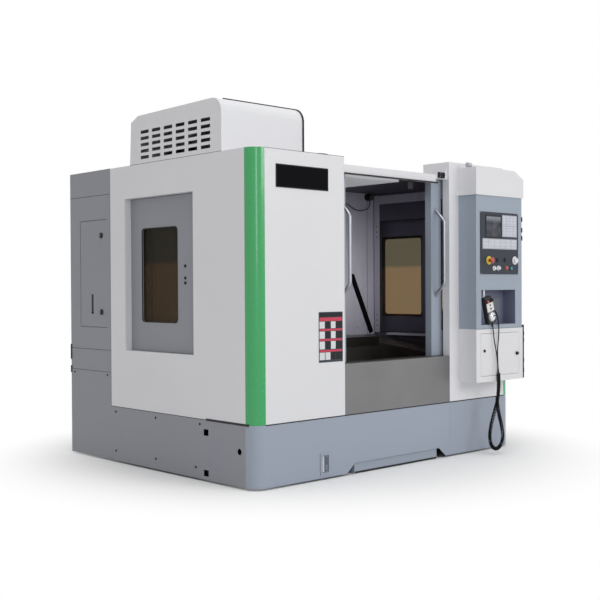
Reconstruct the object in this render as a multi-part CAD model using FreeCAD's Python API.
"""A vertical machining center: enclosure, doors, control box, axes, spindle, tool drum and pendant.

Millimetres. X runs along the front from left to right with 0 at mid width, Y runs from the front panels
(0) to the back, and Z runs up from the floor. Every finished shape is then moved along Y so that the
origin is the middle of the machine's footprint on the floor.
"""
import FreeCAD, Part
import math
import os

V = FreeCAD.Vector
X_AXIS, Y_AXIS, Z_AXIS = V(1, 0, 0), V(0, 1, 0), V(0, 0, 1)

# ---- enclosure -------------------------------------------------------------------------------------
WIDTH = 2570.0                 # over the side panels
HALF = WIDTH / 2
DEPTH = 2090.0                 # front panels to the back of the rear cabinet
PANEL_TOP = 2058.0
SHEET = 4.0                    # wall of every sheet-metal panel
FLANGE = 40.0                  # folded edge of the big panels
FLOOR_GAP = 12.0               # skirt to floor
SKIRT_TOP = 392.0
POST_R = 87.0                  # rounded corner posts
SIDE_END_Y = 1552.0            # side panels end and the rear cabinet starts
ROOF_TOP = 2008.0              # low roof over the work area
CLEAR = 0.3                    # curved faces that move in each other
GAP = 3.0                      # round a door leaf

# ---- front -----------------------------------------------------------------------------------------
OPENING_LEFT = -519.0
OPENING_RIGHT = 552.0
PANEL_RETURN = 60.0            # folded edge of the front panels
SILL_TOP = 723.0               # top of the steel apron
BEAM_Y = (20.0, 76.0)
BEAM_BOTTOM = 1957.0
BEAM_TOP = 2012.0
BEAM_CORNER_R = 72.0
RAISED_TOP = 2110.0            # raised box over the right front panel
RAISED_DEPTH = 240.0
NOTCH_BOTTOM = 1010.0          # widths of the notch in the front skirt
NOTCH_TOP = 858.0
NOTCH_HEIGHT = 62.0
SEAM = 2.5                     # width of a panel joint line
SEAM_DEPTH = 1.5

# ---- sliding front doors ---------------------------------------------------------------------------
DOOR_Y = 80.0                  # front face
DOOR_T = 55.0
DOOR_BOTTOM = 652.0
DOOR_TOP = 1985.0
LEFT_DOOR_EDGE = -426.0        # leading edges with the doors open
RIGHT_DOOR_EDGE = 446.0
MEETING_GAP = 2.0
DOOR_COVER = 40.0              # door hidden behind the panel when closed
DOOR_MARGIN = 112.0            # frame round the window
DOOR_WINDOW_Z = (905.0, 1850.0)
GLASS_T = 8.0
GLASS_LAP = 14.0
RAIL_T = 8.0
RAIL_PLAY = 0.5
RAIL_HALF = 1130.0
RAIL_BITE = 12.0               # rail height inside the door's groove
HANDLE_R = 11.0
HANDLE_OUT = 83.0              # bar centre in front of the door
HANDLE_Z = (1158.0, 1265.0, 1655.0, 1767.0)
HANDLE_EDGE = 45.0             # handle to the door's leading edge
HANDLE_BEND = 55.0

# ---- hinged side doors -----------------------------------------------------------------------------
RECESS_Y = (595.0, 1368.0)
RECESS_Z = (790.0, 1832.0)
RECESS_DEPTH = 50.0
SIDE_LEAF_T = 24.0
SIDE_WINDOW_Y = (825.0, 1238.0)
SIDE_WINDOW_Z = (986.0, 1626.0)
SIDE_WINDOW_R = 30.0
PIN_R = 3.5
PIN_SIDES = 8
PIN_IN = 5.0                   # hinge axis inside the leaf's outer corner
LATCH_Z = (1251.0, 1283.0, 1361.0)
LATCH_Y = 743.0

# ---- rear cabinet ----------------------------------------------------------------------------------
CABINET_BAY = 482.0            # half width of the middle bay round the column
SERVICE_Y = (1600.0, 1955.0)
SERVICE_Z = (940.0, 1708.0)
SERVICE_LEAF_T = 20.0
SERVICE_FACE = -HALF + 2.0     # its locks stand out less than the cabinet's side
CABINET_SEAMS = (626.0, 780.0, 1880.0)
SERVICE_LOCK_Z = (1050.0, 1595.0)
SERVICE_LOCK_Y = 1673.0
LOCK_R = 14.0
GRIP_Y = 1794.0
GRIP_Z = (1036.0, 1176.0)
GRIP_W = 26.0

# ---- magazine hood ---------------------------------------------------------------------------------
HOOD_W = 688.0
HOOD_TOP = 2396.0
HOOD_FRONT_Y = 301.0
HOOD_BACK_Y = 1299.0
HOOD_NOSE_R = 92.0
SLOT_COLUMNS = 6
SLOT_ROWS = 5
SLOT_L = 95.0
SLOT_H = 22.0
SLOT_Y = (412.0, 1170.0)
SLOT_Z = (2088.0, 2280.0)

# ---- control box -----------------------------------------------------------------------------------
BOX_RIGHT_IN = 70.0            # machine's right side to the box
BOX_W = 556.0
BOX_OUT = 156.0                # in front of the front panels
BOX_Z = (912.0, 1873.0)
HEADER_LIP = 10.0
HEADER_TOP = 2070.0
HEADER_CHAMFER = 115.0
POCKET_X = (59.0, 472.0)       # from the box's left side
POCKET_Z = (942.0, 1192.0)
POCKET_DEPTH = 110.0
LOWER_Z = 529.0
LOWER_EXTRA_W = 21.0
LOWER_DOOR_X = (52.0, 518.0)
LOWER_DOOR_Z = (571.0, 879.0)
LOWER_LEAF_T = 18.0
PANEL_X = (44.0, 506.0)        # operator panel, from the box's left side
PANEL_Z = (1306.0, 1755.0)
PANEL_PROUD = 4.0
SCREEN_X = (115.0, 290.0)
SCREEN_Z = (1579.0, 1724.0)
KEYS_X = (309.0, 484.0)
KEYS_Z = (1584.0, 1735.0)
STRIP_X = (73.0, 480.0)
STRIP_Z = (1492.0, 1560.0)
KEY_RISE = 2.0
KEY_GAP = 5.0
FACETS = 12                    # sides of the small round controls
STEM_SIDES = 8

# ---- machine inside --------------------------------------------------------------------------------
LINER_IN = 120.0               # side panel to the chamber's side wall
LINER_T = 3.0
CHAMBER_FRONT_Y = 150.0
CHAMBER_BACK_Y = 1300.0
LEDGE_Z = 817.0                # side floors meet the rear wall
FLOOR_FRONT_Z = 690.0
TROUGH_Z = 590.0
AXIS_Y = 790.0                 # spindle axis behind the front panels
X_TRAVEL = 650.0
Y_TRAVEL = 400.0
Z_UP = 100.0
Z_DOWN = 400.0
TABLE_L = 900.0
TABLE_W = 400.0
TABLE_TOP = 850.0
TABLE_H = 70.0
T_SLOT = 18.0
T_SLOT_PITCH = 100.0
SADDLE_L = 720.0
SADDLE_W = 420.0
BED_TOP = 560.0
BED_FRONT_Y = 310.0
BED_HALF = 400.0
CASTING_WALL = 45.0
TANK_HALF = 420.0
TANK_H = 150.0
TANK_FRONT_Y = 16.0
TANK_WALL = 3.0
WAY_H = 40.0
WAY_X = (220.0, 300.0)
NOSE_Z = 1330.0                # spindle nose at rest
HEAD_LOW = NOSE_Z + 120
HEAD_HIGH = NOSE_Z + 620
CARRIAGE_LOW = NOSE_Z + 100
CARRIAGE_HIGH = NOSE_Z + 540
Z_PLATE_Y = 1206.0             # front of the Z cover
Z_COVER_HALF = 230.0
Z_FIXED_TOP = CARRIAGE_LOW - Z_DOWN - 5
HEAD_HALF = 130.0
HEAD_FRONT_Y = 645.0
COLUMN_HALF = 290.0
COLUMN_TOP = 1990.0
COLUMN_FRONT_Y = 1290.0
COLUMN_BACK_Y = 1850.0
Z_WAY_X = (120.0, 185.0)
Z_WAY_Y = 1240.0
MOTOR_R = 100.0
MOTOR_H = 230.0
DRUM_X = -880.0
DRUM_Z = 1950.0
DRUM_R = 230.0                 # pitch circle of the tool pots
DRUM_Y = (1110.0, 1240.0)
POTS = 12
POT_R = 34.0
STUB_R = 40.0
COVER_STAGE = 222.0            # length of one plate of the Y cover
Z_STAGE = 290.0                # and of the Z cover
COVER_T = 3.0

# ---- pendant and its cord --------------------------------------------------------------------------
HOOK_IN = 119.0                # hook from the box's left side
PENDANT_W = 84.0
PENDANT_Y = (-176.0, -136.0)
PENDANT_Z = (948.0, 1143.0)
PENDANT_TILT = 15.0            # it hangs askew, its lower end to the right
WIRE_D = 8.0
CURL_R = 8.0                   # curl's centre line round the cord's route
CURL_WIRE = 2.0                # half diagonal of the wire's three-sided section
CURLS = 12

# ---- derived ---------------------------------------------------------------------------------------
LEFT_DOOR_W = (LEFT_DOOR_EDGE + RIGHT_DOOR_EDGE) / 2 - OPENING_LEFT + DOOR_COVER
RIGHT_DOOR_W = OPENING_RIGHT - (LEFT_DOOR_EDGE + RIGHT_DOOR_EDGE) / 2 + DOOR_COVER
DOOR_TRAVEL = (RIGHT_DOOR_EDGE - LEFT_DOOR_EDGE - MEETING_GAP) / 2
BOX_R = HALF - BOX_RIGHT_IN
BOX_L = BOX_R - BOX_W
BOX_FRONT = -BOX_OUT
HOOK_X = BOX_L + HOOK_IN
PANEL_FRONT = BOX_FRONT - PANEL_PROUD
HOOD_X = (-HALF, -HALF + HOOD_W)
LINER_X = HALF - LINER_IN
FLOOR_STEP_X = TABLE_L / 2 + X_TRAVEL / 2 + 25
STOP_OUT = 40.0                # emergency stop in front of the operator panel
FRONTMOST_Y = PANEL_FRONT - STOP_OUT
Y_SHIFT = -(FRONTMOST_Y + DEPTH) / 2


# ---- shape helpers ---------------------------------------------------------------------------------
def box(x0, x1, y0, y1, z0, z1):
    """A block between two corners, in any order."""
    low = V(min(x0, x1), min(y0, y1), min(z0, z1))
    return Part.makeBox(abs(x1 - x0), abs(y1 - y0), abs(z1 - z0), low)


def rod(radius, start, end):
    """A round rod from one point to another."""
    axis = end - start
    return Part.makeCylinder(radius, axis.Length, start, axis)


def facet_ring(radius, centre, axis, sides=FACETS):
    """Closed regular polygon about a centre, square to an axis."""
    axis = V(axis).normalize()
    across = axis.cross(Z_AXIS if abs(axis.z) < 0.9 else X_AXIS).normalize()
    up = axis.cross(across)
    points = []
    for i in range(sides):
        turn = 2 * math.pi * (i + 0.5) / sides
        points.append(centre + across * (radius * math.cos(turn)) + up * (radius * math.sin(turn)))
    return Part.makePolygon(points + points[:1])


def facet_rod(radius, start, end, sides=FACETS):
    """A many-sided rod from one point to another."""
    face = Part.Face(facet_ring(radius, start, end - start, sides))
    return face.extrude(end - start)


def facet_cone(radius_0, radius_1, start, end, sides=FACETS):
    """A many-sided tapering rod of flat faces."""
    low = [v.Point for v in facet_ring(radius_0, start, end - start, sides).OrderedVertexes]
    high = [v.Point for v in facet_ring(radius_1, end, end - start, sides).OrderedVertexes]
    outlines = [low, high]
    for i in range(sides):
        j = (i + 1) % sides
        outlines.append([low[i], low[j], high[j], high[i]])
    faces = [Part.Face(Part.makePolygon(points + points[:1])) for points in outlines]
    return Part.Solid(Part.Shell(faces))


def prism(points, along):
    """Extrudes a closed outline."""
    return Part.Face(Part.makePolygon([V(*p) for p in points + points[:1]])).extrude(along)


def rounded_block(x0, x1, y0, y1, z0, z1, radius, axis):
    """A block whose four edges along one axis are rounded."""
    block = box(x0, x1, y0, y1, z0, z1)
    edges = [e for e in block.Edges if abs(abs(e.tangentAt(0).dot(axis)) - 1) < 1e-6]
    return block.makeFillet(radius, edges)


def fuse(shapes):
    """One shape from pieces that touch or overlap."""
    return shapes[0].multiFuse(shapes[1:]).removeSplitter()


def mirrored(shape):
    """The same piece on the machine's other side."""
    return shape.mirror(V(0, 0, 0), X_AXIS)


def both_sides(shape):
    """A piece and its mirror image as separate solids."""
    return Part.makeCompound([shape, mirrored(shape)])


def grid(low, high, count):
    """Starts of equal cells between two ends, and the pitch."""
    pitch = (high - low) / count
    return [low + pitch * i for i in range(count)], pitch


# ---- skirt, feet and castings ----------------------------------------------------------------------
def rounded_footprint(inset, z0, z1):
    """The enclosure's outline in plan with its rounded front corners, as a block."""
    edge = HALF - inset
    radius = POST_R - inset
    corner = HALF - POST_R
    mid = radius * math.sqrt(0.5)
    lines = [
        Part.LineSegment(V(-edge, SIDE_END_Y, z0), V(-edge, POST_R, z0)),
        Part.Arc(V(-edge, POST_R, z0), V(-corner - mid, POST_R - mid, z0), V(-corner, inset, z0)),
        Part.LineSegment(V(-corner, inset, z0), V(corner, inset, z0)),
        Part.Arc(V(corner, inset, z0), V(corner + mid, POST_R - mid, z0), V(edge, POST_R, z0)),
        Part.LineSegment(V(edge, POST_R, z0), V(edge, SIDE_END_Y, z0)),
        Part.LineSegment(V(edge, SIDE_END_Y, z0), V(-edge, SIDE_END_Y, z0)),
    ]
    return Part.Face(Part.Wire([line.toShape() for line in lines])).extrude(Z_AXIS * (z1 - z0))


GAUGE_X = (-747.0, -660.0)
GAUGE_Z = (32.0, 170.0)
GAUGE_RISE = 6.0
BRACKET_Z = 70.0


def base_skirt():
    skirt = rounded_footprint(0, FLOOR_GAP, SKIRT_TOP)
    skirt = skirt.cut(rounded_footprint(SHEET, FLOOR_GAP, SKIRT_TOP - SHEET))
    skirt = skirt.cut(box(-HALF + FLANGE, HALF - FLANGE, FLANGE, SIDE_END_Y, FLOOR_GAP, SKIRT_TOP))
    notch = prism([(-NOTCH_BOTTOM / 2, -1, FLOOR_GAP), (NOTCH_BOTTOM / 2, -1, FLOOR_GAP),
                   (NOTCH_TOP / 2, -1, FLOOR_GAP + NOTCH_HEIGHT), (-NOTCH_TOP / 2, -1, FLOOR_GAP + NOTCH_HEIGHT)],
                  Y_AXIS * (SHEET + 2))
    skirt = skirt.cut(notch)
    for side in (-1, 1):
        wall = (side * (HALF - SHEET - 1), side * (HALF + 1))
        for z in (35.0, 291.0):
            skirt = skirt.cut(box(*wall, 448, 498, z, z + 40))
        skirt = skirt.cut(facet_rod(20, V(wall[0], 145, 226), V(wall[1], 145, 226)))
        skirt = skirt.cut(box(side * (HALF - SEAM_DEPTH), side * (HALF + 1), 430, 430 + SEAM, FLOOR_GAP, SKIRT_TOP))
        shelf = box(side * (HALF - SHEET), side * (HALF - POST_R - 40), POST_R, POST_R + 80, BRACKET_Z,
                    BRACKET_Z + SHEET)
        skirt = skirt.fuse(shelf)
    skirt = skirt.cut(box(OPENING_RIGHT, OPENING_RIGHT + SEAM, -1, SEAM_DEPTH, FLOOR_GAP, SKIRT_TOP))
    bezel = box(*GAUGE_X, -GAUGE_RISE, 0, *GAUGE_Z)
    bezel = bezel.cut(box(GAUGE_X[0] + 14, GAUGE_X[1] - 14, -GAUGE_RISE - 1, 0, GAUGE_Z[0] + 14, GAUGE_Z[1] - 14))
    return skirt.fuse(bezel).removeSplitter()


def levelling_feet():
    solids = []
    places = [(HALF - 80, POST_R + 45), (BED_HALF - CASTING_WALL / 2, 420),
              (BED_HALF - CASTING_WALL / 2, COLUMN_BACK_Y - 80)]
    for x, y in places:
        pad = facet_rod(40, V(x, y, 0), V(x, y, FLOOR_GAP), 6)
        solids.append(pad.fuse(facet_rod(11, V(x, y, FLOOR_GAP), V(x, y, BRACKET_Z), 6)))
    for y in (SIDE_END_Y + 80, DEPTH - 80):
        solids.append(facet_rod(40, V(HALF - 80, y, 0), V(HALF - 80, y, FLOOR_GAP), 6))
    return Part.makeCompound(solids + [mirrored(solid) for solid in solids])


def bed_casting():
    front, back = BED_FRONT_Y, COLUMN_BACK_Y + 10
    bed = box(-BED_HALF, BED_HALF, front, back, BRACKET_Z, BED_TOP)
    bed = bed.cut(box(-60, 60, front - 1, COLUMN_FRONT_Y, BED_TOP - 60, BED_TOP))
    cells, pitch = grid(front, back, 3)
    for y in cells:
        bed = bed.cut(box(-BED_HALF + CASTING_WALL, BED_HALF - CASTING_WALL, y + 25, y + pitch - 25,
                          BRACKET_Z - 1, BED_TOP - 110))
    for side in (-1, 1):
        ways = box(side * WAY_X[0], side * WAY_X[1], front + 10, COLUMN_FRONT_Y - 20, BED_TOP, BED_TOP + WAY_H)
        bed = bed.fuse(ways)
    return bed.removeSplitter()


def column_casting():
    column = box(-COLUMN_HALF, COLUMN_HALF, COLUMN_FRONT_Y, COLUMN_BACK_Y, BED_TOP, COLUMN_TOP)
    wall = CASTING_WALL
    column = column.cut(box(-COLUMN_HALF + wall, COLUMN_HALF - wall, COLUMN_FRONT_Y + wall, COLUMN_BACK_Y - wall,
                            BED_TOP - 1, COLUMN_TOP - wall))
    column = column.cut(box(-150, 150, COLUMN_BACK_Y - wall - 1, COLUMN_BACK_Y + 1, 900, 1700))
    for side in (-1, 1):
        foot = prism([(side * COLUMN_HALF, COLUMN_FRONT_Y + 60, BED_TOP),
                      (side * BED_HALF, COLUMN_FRONT_Y + 60, BED_TOP),
                      (side * COLUMN_HALF, COLUMN_FRONT_Y + 60, 1400)], Y_AXIS * 430)
        way = box(side * Z_WAY_X[0], side * Z_WAY_X[1], Z_WAY_Y, COLUMN_FRONT_Y, 900, COLUMN_TOP)
        column = column.multiFuse([foot, way])
    arm = box(DRUM_X - 70, -COLUMN_HALF, CHAMBER_BACK_Y + 20, CHAMBER_BACK_Y + 110, DRUM_Z - 60, DRUM_Z + 45)
    stub = facet_rod(STUB_R, V(DRUM_X, DRUM_Y[0] - 12, DRUM_Z), V(DRUM_X, CHAMBER_BACK_Y + 20, DRUM_Z))
    cap = facet_rod(STUB_R + 14, V(DRUM_X, DRUM_Y[0] - 12, DRUM_Z), V(DRUM_X, DRUM_Y[0], DRUM_Z))
    return column.multiFuse([arm, stub, cap]).removeSplitter()


def coolant_tank():
    half, high, front, wall = TANK_HALF, TANK_H, TANK_FRONT_Y, TANK_WALL
    outer = box(-half, half, front, BED_FRONT_Y, 0, high)
    tank = outer.cut(box(wall - half, half - wall, front + wall, BED_FRONT_Y - wall, wall, high))
    lip = box(-half, half, front, front + 30, high - wall, high)
    return tank.fuse(lip).removeSplitter()


# ---- side panels and their doors -------------------------------------------------------------------
def leaf_frame(wall_x, depth, ys, zs, lip):
    """The folded frame round a left-hand opening: a ring with a stop lip behind the leaf."""
    outer = box(wall_x, wall_x + depth + SHEET, ys[0] - SHEET, ys[1] + SHEET, zs[0] - SHEET, zs[1] + SHEET)
    inner = box(wall_x - 1, wall_x + depth, ys[0], ys[1], zs[0], zs[1])
    through = box(wall_x, wall_x + depth + SHEET + 1, ys[0] + lip, ys[1] - lip, zs[0] + lip, zs[1] - lip)
    return outer.cut(inner).cut(through)


def hinge_axis(face_x, y_end):
    """Where a left-hand leaf's hinge pins stand, seen from above."""
    return face_x + PIN_IN, y_end - GAP - PIN_IN


def hinge_holes(axis, zs):
    """Holes for a leaf's two pins in the frame above and below it."""
    x, y = axis
    radius = (PIN_R + CLEAR) / math.cos(math.pi / PIN_SIDES)
    low = facet_rod(radius, V(x, y, zs[0] - SHEET - 1), V(x, y, zs[0] + 1), PIN_SIDES)
    high = facet_rod(radius, V(x, y, zs[1] - 1), V(x, y, zs[1] + SHEET + 1), PIN_SIDES)
    return low.fuse(high)


def hinged_leaf(face_x, thick, ys, zs):
    """A left-hand leaf with its two hinge pins at the rear edge."""
    leaf = box(face_x, face_x + thick, ys[0] + GAP, ys[1] - GAP, zs[0] + GAP, zs[1] - GAP)
    x, y = hinge_axis(face_x, ys[1])
    for z0, z1 in ((zs[0] - SHEET + 0.5, zs[0] + GAP), (zs[1] - GAP, zs[1] + SHEET - 0.5)):
        leaf = leaf.fuse(facet_rod(PIN_R, V(x, y, z0), V(x, y, z1), PIN_SIDES))
    return leaf


LEAF_X = -HALF + RECESS_DEPTH
LEAF_BACK = RECESS_DEPTH + SIDE_LEAF_T + 1


def side_panel():
    front, back = POST_R, SIDE_END_Y
    panel = box(-HALF, -HALF + FLANGE, front, back, SKIRT_TOP, PANEL_TOP)
    panel = panel.cut(box(-HALF + SHEET, -HALF + FLANGE + 1, front + SHEET, back - SHEET,
                          SKIRT_TOP + SHEET, PANEL_TOP - SHEET))
    panel = panel.cut(box(-HALF - 1, -HALF + SHEET + 1, *RECESS_Y, *RECESS_Z))
    frame = leaf_frame(-HALF, LEAF_BACK, RECESS_Y, RECESS_Z, 20)
    frame = frame.cut(hinge_holes(hinge_axis(LEAF_X, RECESS_Y[1]), RECESS_Z))
    return panel.fuse(frame).removeSplitter()


def side_door():
    leaf = hinged_leaf(LEAF_X, SIDE_LEAF_T, RECESS_Y, RECESS_Z)
    leaf = leaf.cut(rounded_block(LEAF_X - 1, LEAF_X + SIDE_LEAF_T + 1, *SIDE_WINDOW_Y, *SIDE_WINDOW_Z,
                                  SIDE_WINDOW_R, X_AXIS))
    pocket = [SIDE_WINDOW_Y[0] - GLASS_LAP, SIDE_WINDOW_Y[1] + GLASS_LAP,
              SIDE_WINDOW_Z[0] - GLASS_LAP, SIDE_WINDOW_Z[1] + GLASS_LAP]
    leaf = leaf.cut(box(LEAF_X + SIDE_LEAF_T - GLASS_T, LEAF_X + SIDE_LEAF_T + 1, *pocket))
    studs = [facet_rod(7, V(LEAF_X - 5, LATCH_Y, z), V(LEAF_X, LATCH_Y, z), 8) for z in LATCH_Z]
    return fuse([leaf] + studs)


def side_window():
    return box(LEAF_X + SIDE_LEAF_T - GLASS_T, LEAF_X + SIDE_LEAF_T,
               SIDE_WINDOW_Y[0] - GLASS_LAP + 0.5, SIDE_WINDOW_Y[1] + GLASS_LAP - 0.5,
               SIDE_WINDOW_Z[0] - GLASS_LAP + 0.5, SIDE_WINDOW_Z[1] + GLASS_LAP - 0.5)


# ---- rear cabinet ----------------------------------------------------------------------------------
SERVICE_BACK = SERVICE_FACE + HALF + SERVICE_LEAF_T + 1
PLATE_X = -HALF + 420
GRIP_PIN = V(SERVICE_FACE + 5, GRIP_Y, GRIP_Z[1] - 8)


def rear_cabinet():
    top = PANEL_TOP + 2
    shell = box(-HALF, HALF, SIDE_END_Y, DEPTH, FLOOR_GAP, top)
    shell = shell.cut(box(-CABINET_BAY, CABINET_BAY, SIDE_END_Y - 1, DEPTH - SHEET, FLOOR_GAP - 1, top - SHEET))
    for side in (-1, 1):
        shell = shell.cut(box(side * (CABINET_BAY + SHEET), side * (HALF - SHEET), SIDE_END_Y + SHEET,
                              DEPTH - SHEET, FLOOR_GAP + SHEET, top - SHEET))
        for z in CABINET_SEAMS:
            shell = shell.cut(box(side * (HALF - SEAM_DEPTH), side * (HALF + 1), SIDE_END_Y, DEPTH, z, z + SEAM))
    shell = shell.cut(box(-HALF - 1, -HALF + SHEET + 1, *SERVICE_Y, *SERVICE_Z))
    frame = leaf_frame(-HALF, SERVICE_BACK, SERVICE_Y, SERVICE_Z, 15)
    plate = box(PLATE_X, PLATE_X + SHEET, SIDE_END_Y, DEPTH, 900, 1750)
    modules = [box(PLATE_X - 60, PLATE_X, 1640 + 75 * i, 1700 + 75 * i, z, z + 150)
               for i in range(4) for z in (1060, 1420)]
    cabinet = fuse([shell, frame, plate] + modules)
    return cabinet.cut(hinge_holes(hinge_axis(SERVICE_FACE, SERVICE_Y[1]), SERVICE_Z))


def cabinet_door():
    face = SERVICE_FACE
    leaf = hinged_leaf(face, SERVICE_LEAF_T, SERVICE_Y, SERVICE_Z)
    locks = [facet_rod(LOCK_R, V(face - 1.5, SERVICE_LOCK_Y, z), V(face, SERVICE_LOCK_Y, z), 8)
             for z in SERVICE_LOCK_Z]
    cup = box(face - 1, face + 14, GRIP_Y - GRIP_W / 2, GRIP_Y + GRIP_W / 2, *GRIP_Z)
    reach = V(0, GRIP_W / 2 + 4, 0)
    pin_hole = facet_rod(3, GRIP_PIN - reach, GRIP_PIN + reach, 8)
    return fuse([leaf] + locks).cut(cup).cut(pin_hole)


def cabinet_handle():
    lever = box(SERVICE_FACE + 1, SERVICE_FACE + 8, GRIP_Y - GRIP_W / 2 + 1, GRIP_Y + GRIP_W / 2 - 1,
                GRIP_Z[0] + 14, GRIP_Z[1] - 2)
    reach = V(0, GRIP_W / 2 + 3.5, 0)
    pin = facet_rod(2.4, GRIP_PIN - reach, GRIP_PIN + reach, 8)
    return lever.fuse(pin).removeSplitter()


# ---- roof and hood ---------------------------------------------------------------------------------
STEP_X = HOOD_X[1] + 6
WELL_HALF = 180.0
WELL_Y = 600.0


def roof_panel():
    """One folded sheet: high under the hood, low over the work area, open round the spindle motor."""
    left, right = -HALF + FLANGE, HALF - FLANGE
    high = PANEL_TOP - SHEET
    low = ROOF_TOP - SHEET
    outline = [(-HALF + SHEET, 0, high - SHEET), (STEP_X - SHEET, 0, high - SHEET), (STEP_X - SHEET, 0, low),
               (HALF - SHEET, 0, low), (HALF - SHEET, 0, low + SHEET), (STEP_X, 0, low + SHEET),
               (STEP_X, 0, high), (-HALF + SHEET, 0, high)]
    roof = prism(outline, Y_AXIS * (SIDE_END_Y - PANEL_RETURN))
    roof.translate(V(0, PANEL_RETURN, 0))
    for side in (-1, 1):
        roof = roof.cut(box(side * (HALF - POST_R), side * HALF, 0, POST_R + SHEET, low - 1, high + 1))
        roof = roof.cut(box(side * right, side * HALF, SIDE_END_Y - SHEET, SIDE_END_Y, low - 1, high + 1))
    roof = roof.cut(box(OPENING_LEFT, OPENING_RIGHT, 0, BEAM_Y[1], low - 1, high + 1))
    roof = roof.cut(box(left + 20, STEP_X - 40, HOOD_FRONT_Y + 60, HOOD_BACK_Y - 40, low, high + 1))
    roof = roof.cut(box(-WELL_HALF, WELL_HALF, WELL_Y, SIDE_END_Y, low - 1, low + SHEET + 1))
    return roof


def hood_profile(x, inset):
    """The hood's side outline in the YZ plane, moved in by a wall thickness."""
    front, back, top = HOOD_FRONT_Y + inset, HOOD_BACK_Y - inset, HOOD_TOP - inset
    nose = HOOD_NOSE_R - inset
    mid = nose * (1 - math.sqrt(0.5))
    foot = PANEL_TOP if inset == 0 else PANEL_TOP - 1
    lines = [
        Part.LineSegment(V(x, front, foot), V(x, front, top - nose)),
        Part.Arc(V(x, front, top - nose), V(x, front + mid, top - mid), V(x, front + nose, top)),
        Part.LineSegment(V(x, front + nose, top), V(x, back - 101, top - 12)),
        Part.LineSegment(V(x, back - 101, top - 12), V(x, back - 16, top - 49)),
        Part.LineSegment(V(x, back - 16, top - 49), V(x, back, foot)),
        Part.LineSegment(V(x, back, foot), V(x, front, foot)),
    ]
    return Part.Face(Part.Wire([line.toShape() for line in lines]))


def magazine_hood():
    hood = hood_profile(HOOD_X[0], 0).extrude(X_AXIS * HOOD_W)
    hood = hood.cut(hood_profile(HOOD_X[0] + SHEET, SHEET).extrude(X_AXIS * (HOOD_W - 2 * SHEET)))
    column_pitch = (SLOT_Y[1] - SLOT_Y[0] - SLOT_L) / (SLOT_COLUMNS - 1)
    row_pitch = (SLOT_Z[1] - SLOT_Z[0] - SLOT_H) / (SLOT_ROWS - 1)
    slots = []
    for row in range(SLOT_ROWS):
        z = SLOT_Z[0] + row * row_pitch
        for column in range(SLOT_COLUMNS):
            y = SLOT_Y[0] + column * column_pitch
            slots.append(box(HOOD_X[0] - 1, HOOD_X[0] + SHEET + 1, y, y + SLOT_L, z, z + SLOT_H))
    return hood.cut(Part.makeCompound(slots))


# ---- front panels ----------------------------------------------------------------------------------
def folded_front(x0, x1, z0, z1):
    """A front panel with its edges folded back."""
    panel = box(x0, x1, 0, PANEL_RETURN, z0, z1)
    return panel.cut(box(x0 + SHEET, x1 - SHEET, SHEET, PANEL_RETURN + 1, z0 + SHEET, z1 - SHEET))


def front_panel_left():
    return folded_front(-HALF + POST_R, OPENING_LEFT, SKIRT_TOP, PANEL_TOP)


def front_panel_right():
    """The right panel, its raised top box and the white header over the control box, all one welded piece."""
    x0, x1 = OPENING_RIGHT, HALF - POST_R
    panel = folded_front(x0, x1, SKIRT_TOP, PANEL_TOP)
    raised = box(x0, x1, PANEL_RETURN, RAISED_DEPTH, ROOF_TOP, RAISED_TOP)
    raised = raised.fuse(box(x0, x1, 0, PANEL_RETURN, PANEL_TOP, RAISED_TOP))
    raised = raised.cut(box(x0 + SHEET, x1 - SHEET, SHEET, RAISED_DEPTH - SHEET, ROOF_TOP, RAISED_TOP - SHEET))
    left, right, front = BOX_L - HEADER_LIP, BOX_R + HEADER_LIP, BOX_FRONT - HEADER_LIP
    low = BOX_Z[1]
    header = prism([(left, front, low), (right, front, low), (right, front, HEADER_TOP - HEADER_CHAMFER / 2),
                    (right - HEADER_CHAMFER, front, HEADER_TOP), (left, front, HEADER_TOP)], Y_AXIS * -front)
    hollow = box(left + SHEET, right - HEADER_CHAMFER, front + SHEET, -SHEET, low + SHEET, HEADER_TOP - SHEET)
    return fuse([panel, raised, header.cut(hollow)])


def corner_post():
    centre = V(-HALF + POST_R, POST_R, SKIRT_TOP)
    height = PANEL_TOP - SKIRT_TOP
    post = Part.makeCylinder(POST_R, height, centre, Z_AXIS, 90)
    post = post.cut(Part.makeCylinder(POST_R - SHEET, height - SHEET, centre, Z_AXIS, 90))
    post.rotate(centre, Z_AXIS, 180)
    return post


def rail(z0, z1):
    mid = DOOR_Y + DOOR_T / 2
    return box(-RAIL_HALF, RAIL_HALF, mid - RAIL_T / 2, mid + RAIL_T / 2, z0, z1)


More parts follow.
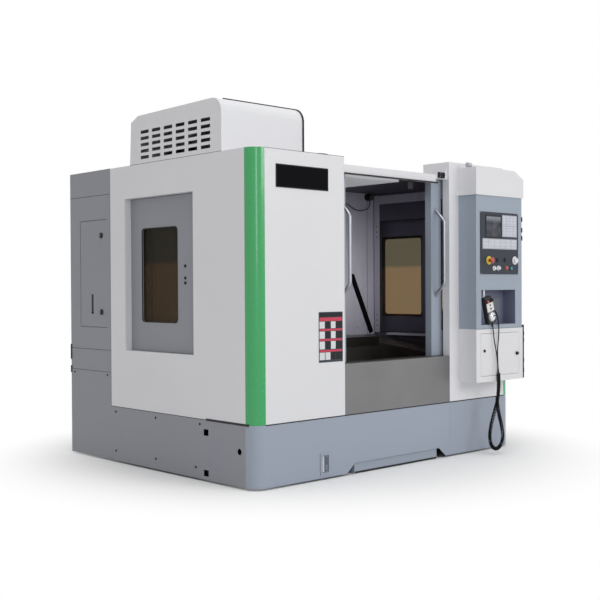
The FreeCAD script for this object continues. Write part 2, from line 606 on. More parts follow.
def header_beam():
    y0, y1 = BEAM_Y
    beam = box(OPENING_LEFT, OPENING_RIGHT, y0, y1, BEAM_BOTTOM, BEAM_TOP)
    beam = beam.cut(box(OPENING_LEFT - 1, OPENING_RIGHT + 1, y0 + SHEET, y1 - SHEET,
                        BEAM_BOTTOM + SHEET, BEAM_TOP - SHEET))
    beam = beam.cut(box(RIGHT_DOOR_EDGE - 16, OPENING_RIGHT, y0 - 1, y1 + 1, BEAM_BOTTOM - 1, DOOR_TOP))
    beam = beam.fuse(box(RIGHT_DOOR_EDGE - 16, OPENING_RIGHT, y0, y1, DOOR_TOP, DOOR_TOP + SHEET))
    corner = box(OPENING_RIGHT - BEAM_CORNER_R, OPENING_RIGHT, y0, y0 + SHEET, BEAM_TOP - SHEET,
                 BEAM_TOP + BEAM_CORNER_R)
    corner = corner.cut(rod(BEAM_CORNER_R, V(OPENING_RIGHT - BEAM_CORNER_R, y0 - 1, BEAM_TOP + BEAM_CORNER_R),
                            V(OPENING_RIGHT - BEAM_CORNER_R, y1, BEAM_TOP + BEAM_CORNER_R)))
    roof_low = ROOF_TOP - SHEET
    mid = DOOR_Y + DOOR_T / 2
    web = box(-RAIL_HALF, RAIL_HALF, y1, mid + RAIL_T / 2, roof_low - 8, roof_low)
    interlock = box(RIGHT_DOOR_EDGE + 1, RIGHT_DOOR_EDGE + 68, y0 - 14, y0, 1990, 2030)
    bracket = box(136, 188, y0 + 8, y0 + 12, 1893, BEAM_BOTTOM)
    return fuse([beam, corner, web, rail(DOOR_TOP - RAIL_BITE, roof_low), interlock, bracket])


def steel_apron():
    y1 = BEAM_Y[1]
    plate = box(OPENING_LEFT, OPENING_RIGHT, 0, SHEET, SKIRT_TOP, SILL_TOP)
    sill = box(OPENING_LEFT, OPENING_RIGHT, 0, y1, SILL_TOP - SHEET, SILL_TOP)
    lip = box(OPENING_LEFT, OPENING_RIGHT, y1 - SHEET, y1, SILL_TOP - 34, SILL_TOP)
    low = DOOR_BOTTOM - RAIL_BITE - 8
    shelf = box(OPENING_LEFT, OPENING_RIGHT, 0, y1, low, low + 8)
    track = box(-RAIL_HALF, RAIL_HALF, y1, CHAMBER_FRONT_Y, low, low + 8)
    return fuse([plate, sill, lip, shelf, track, rail(low, DOOR_BOTTOM + RAIL_BITE)])


# ---- sliding doors ---------------------------------------------------------------------------------
def front_door_frame(x0, x1):
    y0, y1 = DOOR_Y, DOOR_Y + DOOR_T
    door = box(x0, x1, y0, y1, DOOR_BOTTOM, DOOR_TOP)
    door = door.cut(box(x0 + DOOR_MARGIN, x1 - DOOR_MARGIN, y0 - 1, y1 + 1, *DOOR_WINDOW_Z))
    door = door.cut(box(x0 + DOOR_MARGIN - GLASS_LAP, x1 - DOOR_MARGIN + GLASS_LAP, y0 + 20, y1 + 1,
                        DOOR_WINDOW_Z[0] - GLASS_LAP, DOOR_WINDOW_Z[1] + GLASS_LAP))
    mid = (y0 + y1) / 2
    for z0, z1 in ((DOOR_BOTTOM, DOOR_BOTTOM + RAIL_BITE + RAIL_PLAY), (DOOR_TOP - RAIL_BITE - RAIL_PLAY, DOOR_TOP)):
        door = door.cut(box(x0 - 1, x1 + 1, mid - RAIL_T / 2 - RAIL_PLAY, mid + RAIL_T / 2 + RAIL_PLAY, z0, z1))
    return door


def front_glass(x0, x1):
    return box(x0 + DOOR_MARGIN - GLASS_LAP + 0.5, x1 - DOOR_MARGIN + GLASS_LAP - 0.5,
               DOOR_Y + 20, DOOR_Y + 20 + GLASS_T,
               DOOR_WINDOW_Z[0] - GLASS_LAP + 0.5, DOOR_WINDOW_Z[1] + GLASS_LAP - 0.5)


def front_handle(x):
    """A bent tube: two slanting legs and a straight bar."""
    bar_y = DOOR_Y - HANDLE_OUT
    corners = [V(x, DOOR_Y, HANDLE_Z[0]), V(x, bar_y, HANDLE_Z[1]),
               V(x, bar_y, HANDLE_Z[2]), V(x, DOOR_Y, HANDLE_Z[3])]
    path, _ = round_route(corners, HANDLE_BEND)
    ring = facet_ring(HANDLE_R, corners[0], corners[1] - corners[0], 6)
    tube = path.makePipeShell([ring], True, False)
    tube = tube.common(box(x - 50, x + 50, bar_y - 50, DOOR_Y, 0, HOOD_TOP))
    return tube


# ---- routes for bent tubes and cords ---------------------------------------------------------------
def round_route(points, fixed_radius=None):
    """Straight runs joined by tangent arcs. Gives the wire and the arcs' radii."""
    edges, radii = [], []
    start = points[0]
    for before, corner, after in zip(points, points[1:], points[2:]):
        back = (before - corner)
        ahead = (after - corner)
        half_turn = (math.pi - back.getAngle(ahead)) / 2
        reach = 0.45 * min(back.Length, ahead.Length)
        if fixed_radius:
            reach = min(reach, fixed_radius * math.tan(half_turn))
        radii.append(reach / math.tan(half_turn))
        back.normalize()
        ahead.normalize()
        enter, leave = corner + back * reach, corner + ahead * reach
        bisector = (back + ahead).normalize()
        depth = radii[-1] / math.cos(half_turn) - radii[-1]
        edges.append(Part.LineSegment(start, enter).toShape())
        edges.append(Part.Arc(enter, corner + bisector * depth, leave).toShape())
        start = leave
    edges.append(Part.LineSegment(start, points[-1]).toShape())
    return Part.Wire(edges), radii


def cord_tube(points, diameter, sides=3):
    """A plain round-route tube, with its radii and its length."""
    path, radii = round_route(points)
    ring = facet_ring(diameter / 2, points[0], points[1] - points[0], sides)
    return path.makePipeShell([ring], True, False), radii, path.Length


# ---- control box -----------------------------------------------------------------------------------
def in_box(span):
    """A span given from the control box's left side, in machine X."""
    return BOX_L + span[0], BOX_L + span[1]


def control_box():
    outer = box(BOX_L, BOX_R, BOX_FRONT, 0, *BOX_Z)
    cavity = box(BOX_L + SHEET, BOX_R - SHEET, BOX_FRONT + SHEET, -SHEET, BOX_Z[0] + SHEET, BOX_Z[1] - SHEET)
    left, right = in_box(PANEL_X)
    window = box(left + 12, right - 12, BOX_FRONT - 1, BOX_FRONT + SHEET + 1, PANEL_Z[0] + 12, PANEL_Z[1] - 12)
    back = BOX_FRONT + POCKET_DEPTH
    left, right = in_box(POCKET_X)
    liner = box(left - SHEET, right + SHEET, BOX_FRONT, back + SHEET, POCKET_Z[0] - SHEET, POCKET_Z[1] + SHEET)
    pocket = box(left, right, BOX_FRONT - 1, back, *POCKET_Z)
    shell = outer.cut(cavity).cut(window).fuse(liner).cut(pocket)
    hook = box(HOOK_X - 9, HOOK_X + 9, PENDANT_Y[1], PENDANT_Y[1] + 5, PENDANT_Z[1] - 30, POCKET_Z[1])
    socket = box(right - 150, right - 60, back - 12, back, POCKET_Z[0] + 40, POCKET_Z[0] + 190)
    return fuse([shell, hook, socket])


def lower_box():
    right = BOX_R + LOWER_EXTRA_W
    outer = box(BOX_L, right, BOX_FRONT, 0, LOWER_Z, BOX_Z[0])
    cavity = box(BOX_L + SHEET, right - SHEET, BOX_FRONT + SHEET, -SHEET, LOWER_Z + SHEET, BOX_Z[0] - SHEET)
    doorway = box(*in_box(LOWER_DOOR_X), BOX_FRONT - 1, BOX_FRONT + SHEET + 1, *LOWER_DOOR_Z)
    x0, x1 = in_box(LOWER_DOOR_X)
    z0, z1 = LOWER_DOOR_Z
    depth = LOWER_LEAF_T
    ring = box(x0 - SHEET, x1 + SHEET, BOX_FRONT, BOX_FRONT + depth + SHEET, z0 - SHEET, z1 + SHEET)
    ring = ring.cut(box(x0, x1, BOX_FRONT - 1, BOX_FRONT + depth, z0, z1))
    ring = ring.cut(box(x0 + 15, x1 - 15, BOX_FRONT, BOX_FRONT + depth + SHEET + 1, z0 + 15, z1 - 15))
    return fuse([outer.cut(cavity).cut(doorway), ring])


LOWER_LOCK = (486.0, 721.0)


def lower_box_door():
    x0, x1 = in_box(LOWER_DOOR_X)
    leaf = box(x0 + 2, x1 - 2, BOX_FRONT, BOX_FRONT + LOWER_LEAF_T, LOWER_DOOR_Z[0] + 2, LOWER_DOOR_Z[1] - 2)
    x, z = BOX_L + LOWER_LOCK[0], LOWER_LOCK[1]
    leaf = leaf.cut(facet_rod(11.0, V(x, BOX_FRONT - 1, z), V(x, BOX_FRONT + LOWER_LEAF_T + 1, z)))
    socket = facet_rod(11, V(BOX_L + 93, BOX_FRONT - 6, 754), V(BOX_L + 93, BOX_FRONT, 754), 12)
    return leaf.fuse(socket).removeSplitter()


def lower_box_lock():
    x, z = BOX_L + LOWER_LOCK[0], LOWER_LOCK[1]
    barrel = facet_rod(10, V(x, BOX_FRONT - 3, z), V(x, BOX_FRONT + LOWER_LEAF_T + 6, z))
    slot = box(x - 1.5, x + 1.5, BOX_FRONT - 4, BOX_FRONT - 1, z - 6, z + 6)
    cam = box(x - 10, x + 30, BOX_FRONT + LOWER_LEAF_T + 6, BOX_FRONT + LOWER_LEAF_T + 9, z - 8, z + 8)
    return barrel.cut(slot).fuse(cam).removeSplitter()


# Controls: name, X from the box's left side, Z, cap radius, stem radius, how far the cap stands out.
STEM_IN = 14.0
CONTROLS = {
    "estop_button": (144.0, 1406.0, 20.0, 11.0, STOP_OUT),
    "start_button": (244.0, 1410.0, 14.0, 11.0, 8.0),
    "hold_button": (339.0, 1411.0, 14.0, 11.0, 8.0),
    "feed_knob": (463.0, 1409.0, 27.0, 6.0, 18.0),
    "mode_knob": (207.0, 1349.0, 13.0, 5.0, 15.0),
    "rapid_knob": (260.0, 1352.0, 13.0, 5.0, 15.0),
    "red_button": (356.0, 1353.0, 14.0, 11.0, 8.0),
    "blue_button": (413.0, 1350.0, 14.0, 11.0, 8.0),
}
KNOBS = ("feed_knob", "mode_knob", "rapid_knob")
PLUNGE = 4.0                   # travel of the push buttons
STOP_PLUNGE = 6.0
STOP_COLLAR = (30.0, 4.0)


def key_field(xs, zs, columns, rows):
    """Raised keys on the operator panel."""
    keys = []
    starts_x, pitch_x = grid(*in_box(xs), columns)
    starts_z, pitch_z = grid(*zs, rows)
    for x in starts_x:
        for z in starts_z:
            keys.append(box(x + KEY_GAP / 2, x + pitch_x - KEY_GAP / 2, PANEL_FRONT - KEY_RISE, PANEL_FRONT,
                            z + KEY_GAP / 2, z + pitch_z - KEY_GAP / 2))
    return keys


def operator_panel():
    plate = box(*in_box(PANEL_X), PANEL_FRONT, BOX_FRONT, *PANEL_Z)
    plate = plate.cut(box(*in_box(SCREEN_X), PANEL_FRONT - 1, PANEL_FRONT + 2, *SCREEN_Z))
    x, z = BOX_L + CONTROLS["estop_button"][0], CONTROLS["estop_button"][1]
    collar = facet_rod(STOP_COLLAR[0], V(x, PANEL_FRONT - STOP_COLLAR[1], z), V(x, PANEL_FRONT, z))
    keys = key_field(KEYS_X, KEYS_Z, 4, 2) + key_field(STRIP_X, STRIP_Z, 6, 1)
    plate = fuse([plate, collar] + keys)
    holes = []
    for name, (dx, z, cap, stem, out) in CONTROLS.items():
        x = BOX_L + dx
        radius = stem + CLEAR
        if name in KNOBS:
            radius /= math.cos(math.pi / STEM_SIDES)
        holes.append(facet_rod(radius, V(x, PANEL_FRONT - STOP_COLLAR[1] - 1, z), V(x, BOX_FRONT + 1, z), STEM_SIDES))
    return plate.cut(Part.makeCompound(holes))


def screen():
    return box(BOX_L + SCREEN_X[0] + 0.3, BOX_L + SCREEN_X[1] - 0.3, PANEL_FRONT + 0.5, PANEL_FRONT + 2,
               SCREEN_Z[0] + 0.3, SCREEN_Z[1] - 0.3)


def panel_control(name):
    """A push button or knob: a cap in front of the panel on a stem through it."""
    dx, z, cap, stem, out = CONTROLS[name]
    x = BOX_L + dx
    front = PANEL_FRONT - out
    lift = {"estop_button": STOP_COLLAR[1] + STOP_PLUNGE}.get(name, PLUNGE + 0.5)
    if name in KNOBS:
        lift = 0.5
    rim = PANEL_FRONT - lift
    body = facet_rod(stem, V(x, rim, z), V(x, PANEL_FRONT + STEM_IN, z), STEM_SIDES)
    if name == "estop_button":
        dome = facet_cone(cap * 0.7, cap, V(x, front, z), V(x, front + 8, z))
        skirt = facet_cone(cap, stem + 2, V(x, front + 8, z), V(x, front + 20, z))
        neck = facet_rod(stem, V(x, front + 20, z), V(x, rim, z), STEM_SIDES)
        return fuse([body, dome, skirt, neck])
    if name in KNOBS:
        grip = facet_cone(cap * 0.85, cap, V(x, front, z), V(x, rim, z))
        pointer = box(x - 1.5, x + 1.5, front - 2, front, z, z + cap * 0.8)
        return fuse([body, grip, pointer])
    return fuse([body, facet_rod(cap, V(x, front, z), V(x, rim, z))])


# ---- pendant ---------------------------------------------------------------------------------------
PENDANT_FRONT = PENDANT_Y[0]
# Name: X from the pendant's middle, Z, cap radius, stem radius, how far the cap stands out.
PENDANT_PARTS = {
    "pendant_stop": (-24.0, 1112.0, 10.0, 5.0, 12.0),
    "pendant_selector": (24.0, 1112.0, 10.0, 4.0, 12.0),
    "pendant_handwheel": (0.0, 996.0, 30.0, 6.0, 12.0),
}
CRANK_OUT = 10.0
RELIEF_Y = -168.0
RELIEF_L = 30.0


def tilted(shape):
    """Swings a piece of the upright pendant to the angle it hangs at."""
    shape.rotate(V(HOOK_X, 0, PENDANT_Z[1]), Y_AXIS, -PENDANT_TILT)
    return shape


def tilted_point(x, y, z):
    """The same for a point."""
    turn = FreeCAD.Rotation(Y_AXIS, -PENDANT_TILT)
    hook = V(HOOK_X, 0, PENDANT_Z[1])
    return hook + turn.multVec(V(x, y, z) - hook)


def pendant_body():
    body = box(HOOK_X - PENDANT_W / 2, HOOK_X + PENDANT_W / 2, *PENDANT_Y, *PENDANT_Z)
    edges = [e for e in body.Edges if abs(abs(e.tangentAt(0).dot(Y_AXIS)) - 1) < 1e-6]
    body = body.makeChamfer(10, edges)
    boss = facet_rod(5.5, V(HOOK_X, PENDANT_FRONT - 8, 1056), V(HOOK_X, PENDANT_FRONT, 1056), 8)
    body = body.fuse(boss)
    for dx, z, cap, stem, out in PENDANT_PARTS.values():
        x = HOOK_X + dx
        body = body.cut(facet_rod(stem + 0.5, V(x, PENDANT_FRONT - 1, z), V(x, PENDANT_FRONT + 12, z), STEM_SIDES))
    return tilted(body)


def pendant_control(name):
    dx, z, cap, stem, out = PENDANT_PARTS[name]
    x = HOOK_X + dx
    front = PENDANT_FRONT - out
    rim = PENDANT_FRONT - (3.5 if name == "pendant_stop" else 0.5)
    body = facet_rod(stem, V(x, rim, z), V(x, PENDANT_FRONT + 8, z), STEM_SIDES)
    pieces = [body, facet_rod(cap, V(x, front, z), V(x, rim, z), 16 if cap > 20 else 10)]
    if name == "pendant_handwheel":
        pieces.append(facet_rod(4, V(x + 20, front - CRANK_OUT, z), V(x + 20, front, z), 8))
    if name == "pendant_selector":
        pieces.append(box(x - 2, x + 2, front - 4, front, z - 8, z + 8))
    return tilted(fuse(pieces))


def by_box(x, out, z):
    """A point from the control box's left side and its front face."""
    return V(BOX_L + x, BOX_FRONT - out, z)


# The pendant's cord: two plain leads and the curly length that hangs between them.
LEAD_START = tilted_point(HOOK_X, RELIEF_Y, PENDANT_Z[0] - RELIEF_L)
LEAD_FROM_PENDANT = [LEAD_START, tilted_point(HOOK_X, RELIEF_Y, PENDANT_Z[0] - 60), by_box(183, 18, 838),
                     by_box(198, 26, 752), by_box(212, 32, 655), by_box(204.5, 32, 548), by_box(200, 32, 440)]
LEAD_FROM_BOX = [by_box(271, -92, 1060), by_box(271, -58, 1060), by_box(263, -14, 1022), by_box(247, 14, 950),
                 by_box(246, 15, 860), by_box(231, 13, 765), by_box(235, 12, 682), by_box(243, 12, 602)]
CURLY_ROUTE = [by_box(243, 12, 602), by_box(251, 12, 514), by_box(244, 8, 405), by_box(209, 4, 312),
               by_box(163, 5, 218), by_box(138, 8, 132), by_box(151, 14, 66), by_box(201, 21, 34),
               by_box(255, 27, 62), by_box(273, 31, 128), by_box(249, 32, 218), by_box(213, 32, 312),
               by_box(198, 32, 392), by_box(200, 32, 440)]
GLAND_BACK = BOX_FRONT + POCKET_DEPTH


def cord_glands():
    """The pendant's strain relief and the gland in the back of the recess."""
    foot = tilted_point(HOOK_X, RELIEF_Y, PENDANT_Z[0])
    relief = facet_cone(5.5, 8, LEAD_START, foot, 8)
    start = LEAD_FROM_BOX[0]
    gland = facet_cone(6, 11, start, V(start.x, GLAND_BACK, start.z), 8)
    return Part.makeCompound([relief, gland])


def biarc(p0, t0, p1, t1):
    """Two arcs from one point and direction to another."""
    chord, sum_t = p1 - p0, t0 + t1
    k = 2 * (1 - t0.dot(t1))
    b = chord.dot(sum_t)
    reach = chord.dot(chord) / (2 * b) if k < 1e-6 else (-b + math.sqrt(b * b + k * chord.dot(chord))) / k
    middle = (p0 + p1 + (t0 - t1) * reach) * 0.5
    return [arc_from(p0, t0, middle), arc_from(p1, t1 * -1, middle)]


def arc_from(start, direction, end):
    """An arc that leaves a point in a direction and ends at another."""
    chord = end - start
    side = direction - chord * (direction.dot(chord) / chord.dot(chord))
    if side.Length < 1e-4:
        return Part.LineSegment(start, end).toShape()
    angle = chord.getAngle(direction)
    rise = 0.5 * chord.Length * math.tan(angle / 2)
    return Part.Arc(start, (start + end) * 0.5 + side.normalize() * rise, end).toShape()


def curly_cord():
    """One unbroken tube wound in curls along the hanging route. Also gives its least gap to itself."""
    route, _ = round_route(CURLY_ROUTE)
    count = 1200
    centres = route.discretize(Number=count + 1)
    straight = WIRE_D / route.Length
    total = 2 * math.pi * CURLS

    def point(turn):
        along = straight + (1 - 2 * straight) * turn / total
        place = along * count
        i = min(int(place), count - 1)
        centre = centres[i] + (centres[i + 1] - centres[i]) * (place - i)
        ahead = (centres[min(i + 8, count)] - centres[max(i - 7, 0)]).normalize()
        out = (Y_AXIS - ahead * Y_AXIS.dot(ahead)).normalize()
        grow = max(0.0, min(1.0, turn / (2 * math.pi), (total - turn) / (2 * math.pi)))
        grow = grow * grow * (3 - 2 * grow)
        return centre + (out * math.cos(turn) + ahead.cross(out) * math.sin(turn)) * (CURL_R * grow)

    def tangent(turn):
        if turn <= 0:
            return (centres[1] - centres[0]).normalize()
        if turn >= total:
            return (centres[-1] - centres[-2]).normalize()
        return (point(turn + 0.01) - point(turn - 0.01)).normalize()

    quarter = math.pi / 2
    turns = [i * quarter for i in range(5)]
    turns += [i * 2 * quarter for i in range(3, 2 * CURLS - 1)]
    turns += [total - i * quarter for i in range(3, -1, -1)]
    turns = sorted(set(round(t, 9) for t in turns))
    edges = [Part.LineSegment(centres[0], point(turns[0])).toShape()]
    for a, b in zip(turns, turns[1:]):
        edges += biarc(point(a), tangent(a), point(b), tangent(b))
    edges.append(Part.LineSegment(point(turns[-1]), centres[-1]).toShape())
    path = Part.Wire(Part.__sortEdges__(edges))
    ring = facet_ring(CURL_WIRE, centres[0], centres[1] - centres[0], 3)
    tube = path.makePipeShell([ring], True, False)
    samples = [point(total * i / 1400) for i in range(1401)]
    gap = min((samples[i] - samples[j]).Length for i in range(0, 1401, 2) for j in range(i + 36, 1401, 2))
    return tube, gap - 2 * CURL_WIRE, path.Length


# ---- chamber ---------------------------------------------------------------------------------------
LAMP_X, LAMP_Z = 1078.0, 1972.0
LAMP_CORD = [V(1078, 1262, 1943), V(1078, 1262, 1886), V(1010, 1266, 1858), V(930, 1268, 1852),
             V(862, 1266, 1876), V(810, 1264, 1905), V(760, 1264, 1905)]
LAMP_CORD_D = 7.0
LINER_DOOR_Y = (640.0, 1215.0)
LINER_DOOR_Z = (845.0, 1764.0)
WIPER = ((884.0, 1320.0), (1118.0, 838.0))
WIPER_W = 38.0


def chamber_walls():
    """Inner walls as separate sheets: rear, two sides, two fronts, the ceiling plate and the wiper strip."""
    t = LINER_T
    low = ROOF_TOP - SHEET
    back = CHAMBER_BACK_Y
    floor = TROUGH_Z - 20
    rear = box(-LINER_X, LINER_X, back, back + t, floor, low)
    rear = rear.cut(box(-COLUMN_HALF - 6, COLUMN_HALF + 6, back - 1, back + t + 1, floor - 1, low + 1))
    rear = rear.cut(facet_rod(STUB_R + 10, V(DRUM_X, back - 1, DRUM_Z), V(DRUM_X, back + t + 1, DRUM_Z)))
    side = box(-LINER_X, -LINER_X + t, CHAMBER_FRONT_Y + t, back, floor, low)
    side = side.cut(box(-LINER_X - 1, -LINER_X + t + 1, *LINER_DOOR_Y, *LINER_DOOR_Z))
    ledge = box(-LINER_X + t, -LINER_X + 62, LINER_DOOR_Y[0] + 10, LINER_DOOR_Y[1] - 110, 822, 836)
    side = side.fuse(ledge)
    front_left = box(-LINER_X, OPENING_LEFT - 30, CHAMBER_FRONT_Y, CHAMBER_FRONT_Y + t, SILL_TOP, low)
    front_right = box(OPENING_RIGHT + 30, LINER_X, CHAMBER_FRONT_Y, CHAMBER_FRONT_Y + t, SILL_TOP, low)
    right_x = 185.0
    ceiling = box(OPENING_LEFT, right_x, CHAMBER_FRONT_Y + t, 690, low - 50, low)
    ceiling = ceiling.cut(box(OPENING_LEFT + t, right_x - t, CHAMBER_FRONT_Y + 2 * t, 690 - t, low - 50 + t, low + 1))
    ceiling = ceiling.cut(box(-HEAD_HALF - 30, HEAD_HALF + 30, WELL_Y, 691, low - 51, low + 1))
    (x0, z0), (x1, z1) = WIPER
    along = V(x1 - x0, 0, z1 - z0).normalize()
    across = V(along.z, 0, -along.x) * (WIPER_W / 2)
    a, b = V(x0, back, z0), V(x1, back, z1)
    strip = Part.Face(Part.makePolygon([a + across, b + across, b - across, a - across, a + across]))
    return Part.makeCompound([rear, side, mirrored(side), front_left, front_right, ceiling,
                              strip.extrude(Y_AXIS * -18)])


def chamber_floor():
    """Sloping side floors, the trough beside the bed, the low front wall and the fixed cover plates."""
    t = LINER_T
    front, back = CHAMBER_FRONT_Y, CHAMBER_BACK_Y
    inner = LINER_X - t
    wall = box(-inner - t, inner + t, front, front + t, TROUGH_Z - 20, SILL_TOP)
    step = FLOOR_STEP_X
    slope = prism([(step, front + t, FLOOR_FRONT_Z), (step, back, LEDGE_Z), (step, back, LEDGE_Z + t),
                   (step, front + t, FLOOR_FRONT_Z + t)], X_AXIS * (inner - step))
    riser = prism([(step, front + t, TROUGH_Z), (step, back, TROUGH_Z), (step, back, LEDGE_Z + t),
                   (step, front + t, FLOOR_FRONT_Z + t)], X_AXIS * -t)
    bottom = box(BED_HALF + 2, step, front + t, back, TROUGH_Z - t, TROUGH_Z)
    side = fuse([slope, riser, bottom])
    apron_floor = box(-BED_HALF - 2, BED_HALF + 2, front + t, front + 150, TROUGH_Z - t, TROUGH_Z)
    floor = fuse([side, mirrored(side), apron_floor, wall])
    (x0, x1), z = (-WAY_X[1] - 4, WAY_X[1] + 4), BED_TOP + WAY_H + 24
    stage_end = front + COVER_STAGE
    y_plate = box(x0, x1, front + t, stage_end, z, z + COVER_T)
    skirts = [box(s * x1, s * (x1 - COVER_T), front + t, stage_end, TROUGH_Z, z) for s in (-1, 1)]
    plate_y = Z_PLATE_Y + 2 * COVER_T
    z_plate = box(-Z_COVER_HALF, Z_COVER_HALF, plate_y, plate_y + COVER_T, Z_FIXED_TOP - Z_STAGE, Z_FIXED_TOP)
    legs = [box(s * Z_COVER_HALF, s * (Z_COVER_HALF - COVER_T), plate_y, COLUMN_FRONT_Y, Z_FIXED_TOP - Z_STAGE,
                Z_FIXED_TOP) for s in (-1, 1)]
    return Part.makeCompound([floor, fuse([y_plate] + skirts), fuse([z_plate] + legs)])


def work_lamp():
    back = CHAMBER_BACK_Y
    body = facet_rod(27, V(LAMP_X, back - 62, LAMP_Z), V(LAMP_X, back, LAMP_Z))
    gland = facet_rod(8, V(LAMP_X, LAMP_CORD[0].y, LAMP_CORD[0].z), V(LAMP_X, LAMP_CORD[0].y, LAMP_Z - 20), 8)
    end = LAMP_CORD[-1]
    outlet = box(end.x - 44, end.x, end.y - 16, back, end.z - 17, end.z + 17)
    return Part.makeCompound([fuse([body, gland]), outlet])


# ---- moving axes -----------------------------------------------------------------------------------
def saddle():
    y0, y1 = AXIS_Y - SADDLE_W / 2, AXIS_Y + SADDLE_W / 2
    low, top = BED_TOP + WAY_H, TABLE_TOP - TABLE_H
    body = box(-SADDLE_L / 2, SADDLE_L / 2, y0, y1, low, top)
    body = body.cut(box(-SADDLE_L / 2 - 1, SADDLE_L / 2 + 1, AXIS_Y - 60, AXIS_Y + 60, top - 40, top))
    keel = box(-WAY_X[0] + 1, WAY_X[0] - 1, y0, y1, low - 25, low)
    z = BED_TOP + WAY_H + 24 + 2 * COVER_T
    x = WAY_X[1] + 4 + 2 * COVER_T
    plate = box(-x, x, y0 - COVER_STAGE, y0, z, z + COVER_T)
    skirts = [box(s * x, s * (x - COVER_T), y0 - COVER_STAGE, y0, TROUGH_Z + 5, z + COVER_T) for s in (-1, 1)]
    return fuse([body, keel, plate] + skirts)


def y_cover():
    y1 = AXIS_Y - SADDLE_W / 2 - Y_TRAVEL / 4 - 1
    z = BED_TOP + WAY_H + 24 + COVER_T
    x = WAY_X[1] + 4 + COVER_T
    plate = box(-x, x, y1 - COVER_STAGE, y1, z, z + COVER_T)
    skirts = [box(s * x, s * (x - COVER_T), y1 - COVER_STAGE, y1, TROUGH_Z + 5, z + COVER_T) for s in (-1, 1)]
    return fuse([plate] + skirts)


def table():
    y0, y1 = AXIS_Y - TABLE_W / 2, AXIS_Y + TABLE_W / 2
    low = TABLE_TOP - TABLE_H
    body = box(-TABLE_L / 2, TABLE_L / 2, y0, y1, low, TABLE_TOP)
    keel = box(-TABLE_L / 2, TABLE_L / 2, AXIS_Y - 59, AXIS_Y + 59, low - 39, low)
    body = body.fuse(keel)
    for i in (-1, 0, 1):
        y = AXIS_Y + i * T_SLOT_PITCH
        body = body.cut(box(-TABLE_L / 2 - 1, TABLE_L / 2 + 1, y - T_SLOT / 2, y + T_SLOT / 2,
                            TABLE_TOP - 20, TABLE_TOP))
        body = body.cut(box(-TABLE_L / 2 - 1, TABLE_L / 2 + 1, y - 15, y + 15, TABLE_TOP - 34, TABLE_TOP - 20))
    return body.removeSplitter()


CARTRIDGE_R = 75.0
SPINDLE_R = 44.0
SPINDLE_SIDES = 16


def spindle_head():
    low, high = HEAD_LOW, HEAD_HIGH
    front = HEAD_FRONT_Y
    outline = [(-HEAD_HALF, Z_WAY_Y, low + 60), (-HEAD_HALF, front + 90, low), (-HEAD_HALF, front, low),
               (-HEAD_HALF, front, high - 90), (-HEAD_HALF, front + 70, high), (-HEAD_HALF, Z_WAY_Y, high)]
    head = prism(outline, X_AXIS * (2 * HEAD_HALF))
    reach = Z_WAY_X[1] + 25
    carriage = box(-reach, reach, Z_PLATE_Y - 60, Z_WAY_Y, CARRIAGE_LOW, CARRIAGE_HIGH)
    cartridge = facet_rod(CARTRIDGE_R, V(0, AXIS_Y, NOSE_Z + 20), V(0, AXIS_Y, low + 20), 20)
    plate = box(-Z_COVER_HALF, Z_COVER_HALF, Z_PLATE_Y, Z_PLATE_Y + COVER_T, CARRIAGE_LOW - Z_STAGE, CARRIAGE_LOW)
    motor = facet_rod(MOTOR_R, V(0, AXIS_Y, high), V(0, AXIS_Y, high + MOTOR_H))
    head = fuse([head, carriage, cartridge, plate, motor])
    radius = (SPINDLE_R + CLEAR) / math.cos(math.pi / SPINDLE_SIDES)
    bore = facet_rod(radius, V(0, AXIS_Y, NOSE_Z), V(0, AXIS_Y, NOSE_Z + 200), SPINDLE_SIDES)
    wall = CASTING_WALL
    head = head.cut(box(-HEAD_HALF + wall, HEAD_HALF - wall, AXIS_Y + MOTOR_R + 20, Z_WAY_Y - wall,
                        low + 2 * wall, high + 1))
    return head.cut(bore)


def z_cover():
    top = (Z_FIXED_TOP + CARRIAGE_LOW) / 2
    return box(-Z_COVER_HALF, Z_COVER_HALF, Z_PLATE_Y + COVER_T, Z_PLATE_Y + 2 * COVER_T, top - Z_STAGE, top)


def spindle():
    body = facet_rod(SPINDLE_R, V(0, AXIS_Y, NOSE_Z), V(0, AXIS_Y, NOSE_Z + 200), SPINDLE_SIDES)
    taper = facet_cone(22.2, 13, V(0, AXIS_Y, NOSE_Z), V(0, AXIS_Y, NOSE_Z + 65))
    body = body.cut(taper)
    keys = [box(s * 25, s * 40, AXIS_Y - 8, AXIS_Y + 8, NOSE_Z - 8, NOSE_Z) for s in (-1, 1)]
    return fuse([body] + keys)


def magazine_drum():
    y0, y1 = DRUM_Y
    disc = facet_rod(DRUM_R + POT_R - 2, V(DRUM_X, y1 - 50, DRUM_Z), V(DRUM_X, y1 - 30, DRUM_Z), POTS)
    hub = facet_rod(80, V(DRUM_X, y0, DRUM_Z), V(DRUM_X, y1, DRUM_Z), POTS)
    pots = []
    for i in range(POTS):
        turn = 2 * math.pi * i / POTS
        x, z = DRUM_X + (DRUM_R - 6) * math.cos(turn), DRUM_Z + (DRUM_R - 6) * math.sin(turn)
        pots.append(facet_rod(POT_R - 8, V(x, y0, z), V(x, y1 - 50, z), 6))
    drum = fuse([disc, hub] + pots)
    radius = (STUB_R + CLEAR) / math.cos(math.pi / FACETS)
    return drum.cut(facet_rod(radius, V(DRUM_X, y0 - 1, DRUM_Z), V(DRUM_X, y1 + 1, DRUM_Z)))


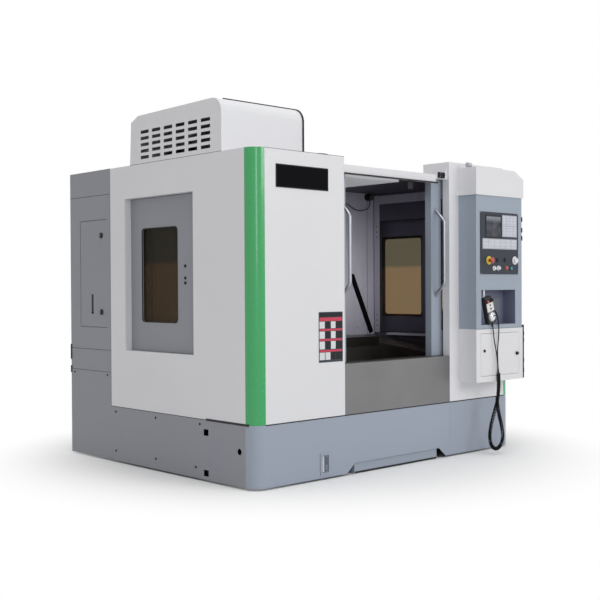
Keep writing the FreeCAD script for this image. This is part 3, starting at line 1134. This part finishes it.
# ---- the parts -------------------------------------------------------------------------------------
def all_parts():
    left_0, left_1 = LEFT_DOOR_EDGE - LEFT_DOOR_W, LEFT_DOOR_EDGE
    right_0, right_1 = RIGHT_DOOR_EDGE, RIGHT_DOOR_EDGE + RIGHT_DOOR_W
    pendant_lead, lead_radii, lead_length = cord_tube(LEAD_FROM_PENDANT, WIRE_D)
    box_lead, box_radii, box_length = cord_tube(LEAD_FROM_BOX, WIRE_D)
    lamp_lead, lamp_radii, lamp_length = cord_tube(LAMP_CORD, LAMP_CORD_D)
    coil, coil_gap, coil_length = curly_cord()
    print("pendant lead radii", [round(r) for r in lead_radii], "length", round(lead_length))
    print("box lead radii", [round(r) for r in box_radii], "length", round(box_length))
    print("lamp cord radii", [round(r) for r in lamp_radii], "length", round(lamp_length))
    print("curly cord: least gap to itself %.2f mm, wire length %.0f mm" % (coil_gap, coil_length))
    parts = {
        "base_skirt": base_skirt(),
        "levelling_feet": levelling_feet(),
        "bed_casting": bed_casting(),
        "column_casting": column_casting(),
        "coolant_tank": coolant_tank(),
        "side_panel_left": side_panel(),
        "side_panel_right": mirrored(side_panel()),
        "side_door_left": side_door(),
        "side_door_right": mirrored(side_door()),
        "side_window_left": side_window(),
        "side_window_right": mirrored(side_window()),
        "rear_cabinet": rear_cabinet(),
        "cabinet_door": cabinet_door(),
        "cabinet_handle": cabinet_handle(),
        "roof_panel": roof_panel(),
        "magazine_hood": magazine_hood(),
        "front_panel_left": front_panel_left(),
        "front_panel_right": front_panel_right(),
        "corner_posts": both_sides(corner_post()),
        "header_beam": header_beam(),
        "steel_apron": steel_apron(),
        "front_door_left": front_door_frame(left_0, left_1),
        "front_door_right": front_door_frame(right_0, right_1),
        "front_window_left": front_glass(left_0, left_1),
        "front_window_right": front_glass(right_0, right_1),
        "front_handle_left": front_handle(LEFT_DOOR_EDGE - HANDLE_EDGE),
        "front_handle_right": front_handle(RIGHT_DOOR_EDGE + HANDLE_EDGE),
        "control_box": control_box(),
        "lower_box": lower_box(),
        "lower_box_door": lower_box_door(),
        "lower_box_lock": lower_box_lock(),
        "operator_panel": operator_panel(),
        "screen": screen(),
        "pendant_body": pendant_body(),
        "cord_glands": cord_glands(),
        "cord_leads": Part.makeCompound([pendant_lead, box_lead]),
        "cord_coil": coil,
        "chamber_walls": chamber_walls(),
        "chamber_floor": chamber_floor(),
        "work_lamp": work_lamp(),
        "lamp_cord": lamp_lead,
        "saddle": saddle(),
        "table": table(),
        "y_cover": y_cover(),
        "z_cover": z_cover(),
        "spindle_head": spindle_head(),
        "spindle": spindle(),
        "magazine_drum": magazine_drum(),
    }
    for name in CONTROLS:
        parts[name] = panel_control(name)
    for name in PENDANT_PARTS:
        parts[name] = pendant_control(name)
    return parts


def main():
    os.makedirs("parts", exist_ok=True)
    for name, shape in all_parts().items():
        shape.translate(V(0, Y_SHIFT, 0))
        shape.exportStep(os.path.join("parts", name + ".step"))


main()
